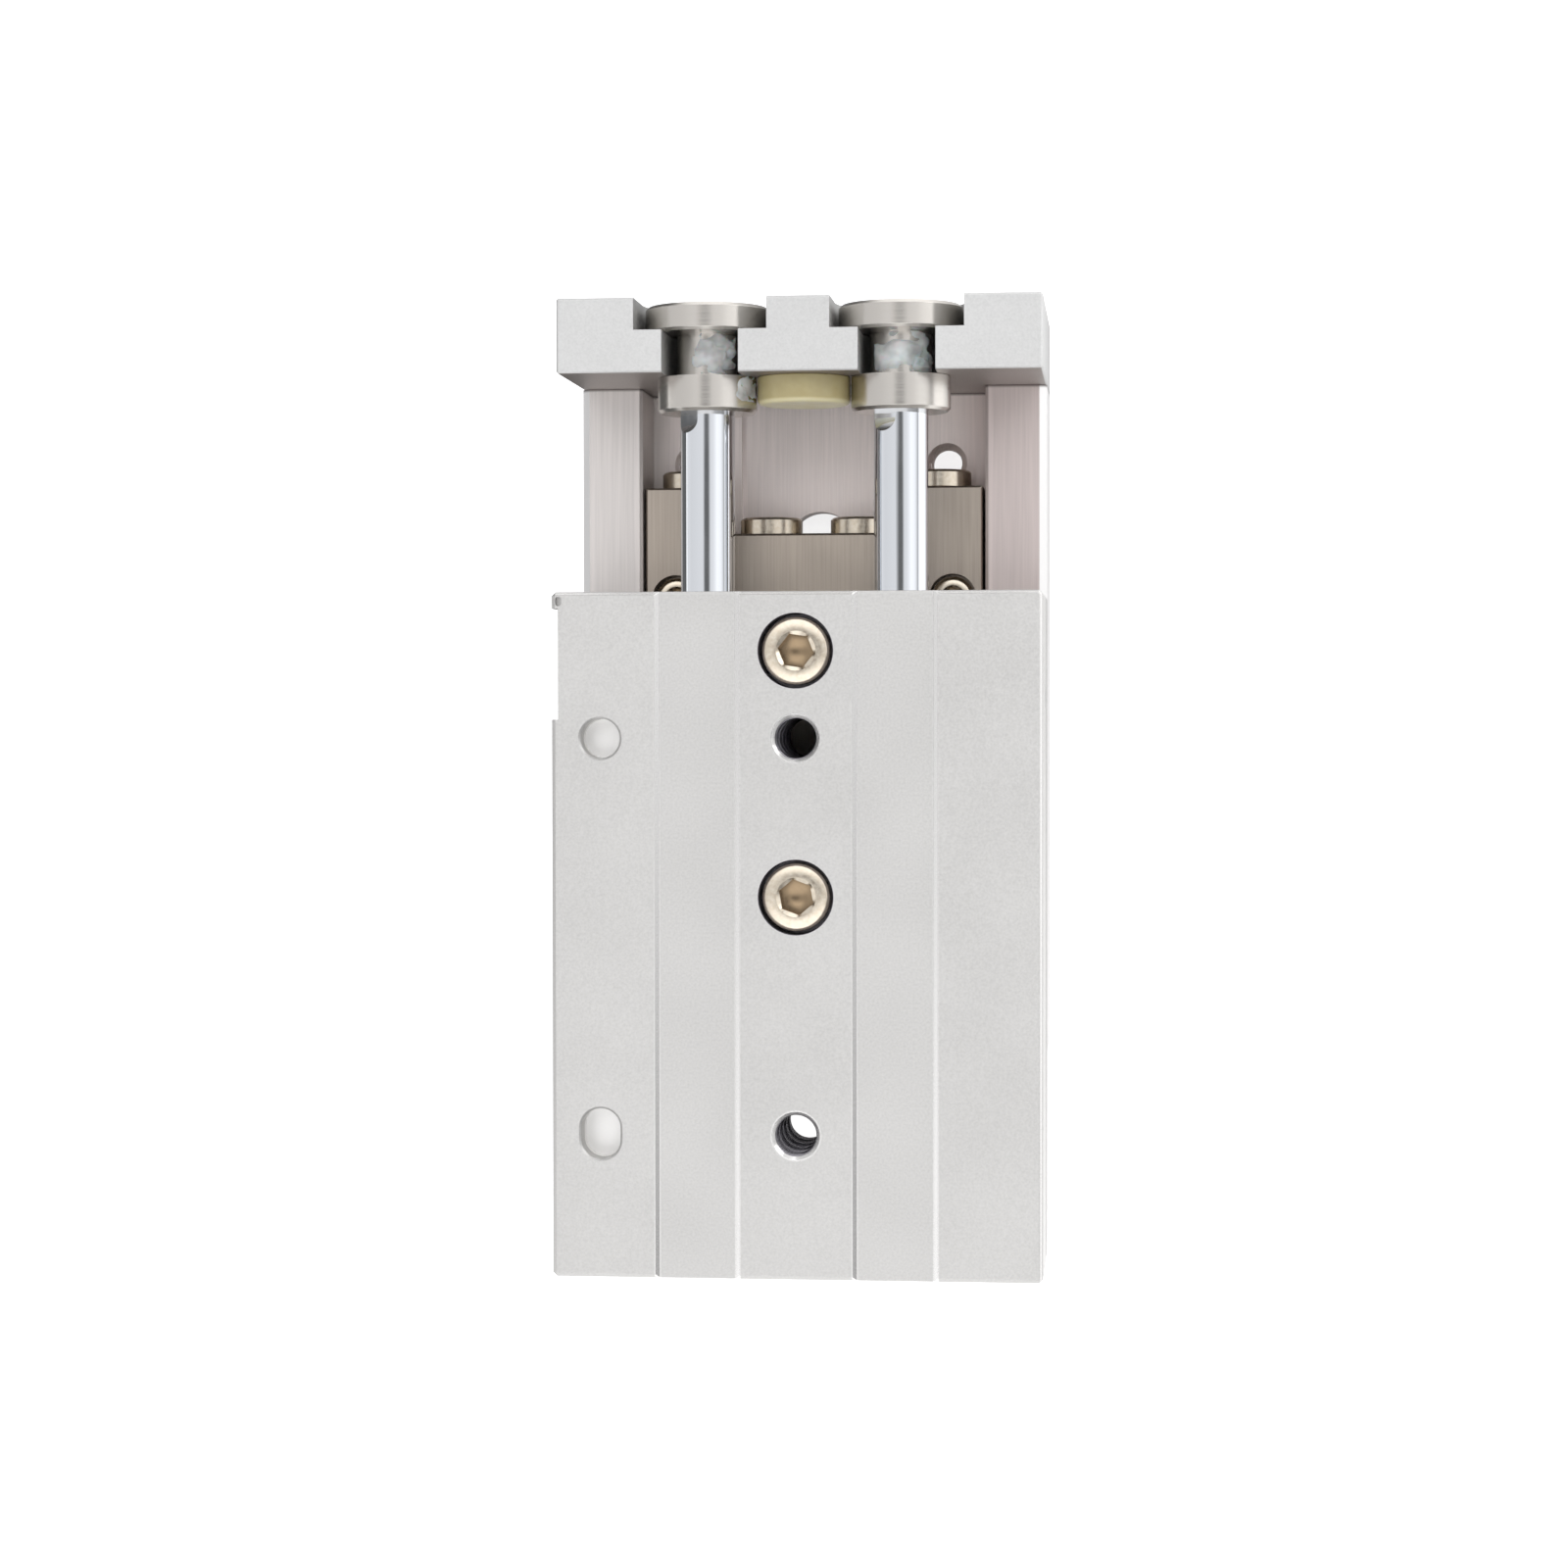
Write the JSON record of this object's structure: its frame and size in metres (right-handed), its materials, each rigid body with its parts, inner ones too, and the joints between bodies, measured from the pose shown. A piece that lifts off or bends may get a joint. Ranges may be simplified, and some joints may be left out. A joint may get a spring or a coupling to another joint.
{
  "type": "slide table cylinder",
  "caption": "Air slide table: twin-bore cylinder body with piston rods that push a U-shaped table on crossed-roller rails, with stepped end plate, floating bushes and bumper.",
  "frame": {"origin": "on the centre line of the table's load face, level with the front end of the cylinder body", "axes": "+X across the body, +Y the way the table extends, +Z out of the body's mounting face"},
  "size_m": [0.062, 0.1242, 0.04],
  "materials": {
    "anodised_aluminium": "bead blasted, clear anodised",
    "ground_steel": "hardened and ground",
    "nickel_screws": "nickel plated",
    "hard_chrome": "hard chrome plated and polished",
    "stainless_steel": "turned",
    "turned_aluminium": "turned",
    "nitrile_rubber": "moulded",
    "phosphated_steel": "phosphated",
    "polyurethane": "cast, translucent amber",
    "bonded_magnet": "moulded",
    "acetal_resin": "moulded",
    "bearing_steel": "ground and polished"
  },
  "bodies": {
    "cylinder": {"cylinder_body": "anodised_aluminium", "guide_block": "ground_steel", "guide_screws": "nickel_screws", "guide_stop_screws": "nickel_screws", "passage_plugs": "phosphated_steel", "rod_cover_left": "turned_aluminium", "rod_cover_right": "turned_aluminium", "rod_seal_left": "nitrile_rubber", "rod_seal_right": "nitrile_rubber", "cover_o_ring_left": "nitrile_rubber", "cover_o_ring_right": "nitrile_rubber", "cover_ring_left": "phosphated_steel", "cover_ring_right": "phosphated_steel", "head_cap_left": "turned_aluminium", "head_cap_right": "turned_aluminium", "cap_o_ring_left": "nitrile_rubber", "cap_o_ring_right": "nitrile_rubber", "cap_ring_left": "phosphated_steel", "cap_ring_right": "phosphated_steel"},
    "slide": {"table": "anodised_aluminium", "end_plate": "anodised_aluminium", "end_plate_screws": "nickel_screws", "end_bumper": "polyurethane", "rail_left": "ground_steel", "rail_right": "ground_steel", "rail_screws": "nickel_screws", "rail_stop_screws": "nickel_screws", "piston_rod_left": "hard_chrome", "piston_rod_right": "hard_chrome", "floating_bush_left": "stainless_steel", "floating_bush_right": "stainless_steel", "piston_left": "turned_aluminium", "piston_right": "turned_aluminium", "piston_seal_left": "nitrile_rubber", "piston_seal_right": "nitrile_rubber", "piston_magnet_left": "bonded_magnet", "piston_magnet_right": "bonded_magnet", "wear_ring_left": "acetal_resin", "wear_ring_right": "acetal_resin", "piston_nut_left": "phosphated_steel", "piston_nut_right": "phosphated_steel", "piston_bumper_left": "polyurethane", "piston_bumper_right": "polyurethane"},
    "cage_left": {"roller_cage_left": "stainless_steel", "rollers_left": "bearing_steel"},
    "cage_right": {"roller_cage_right": "stainless_steel", "rollers_right": "bearing_steel"}
  },
  "joints": [
    {"name": "table_slide", "type": "slide", "parent": "cylinder", "child": "slide", "axis": [0, 1, 0], "range_m": [-0.0242, 0.0058]},
    {"name": "cage_left_slide", "type": "slide", "parent": "cylinder", "child": "cage_left", "axis": [0, 1, 0], "range_m": [-0.0121, 0.0029]},
    {"name": "cage_right_slide", "type": "slide", "parent": "cylinder", "child": "cage_right", "axis": [0, 1, 0], "range_m": [-0.0121, 0.0029]}
  ],
  "couplings": [
    {"joint": "cage_left_slide", "follows": "table_slide", "ratio": 0.5},
    {"joint": "cage_right_slide", "follows": "table_slide", "ratio": 0.5}
  ]
}
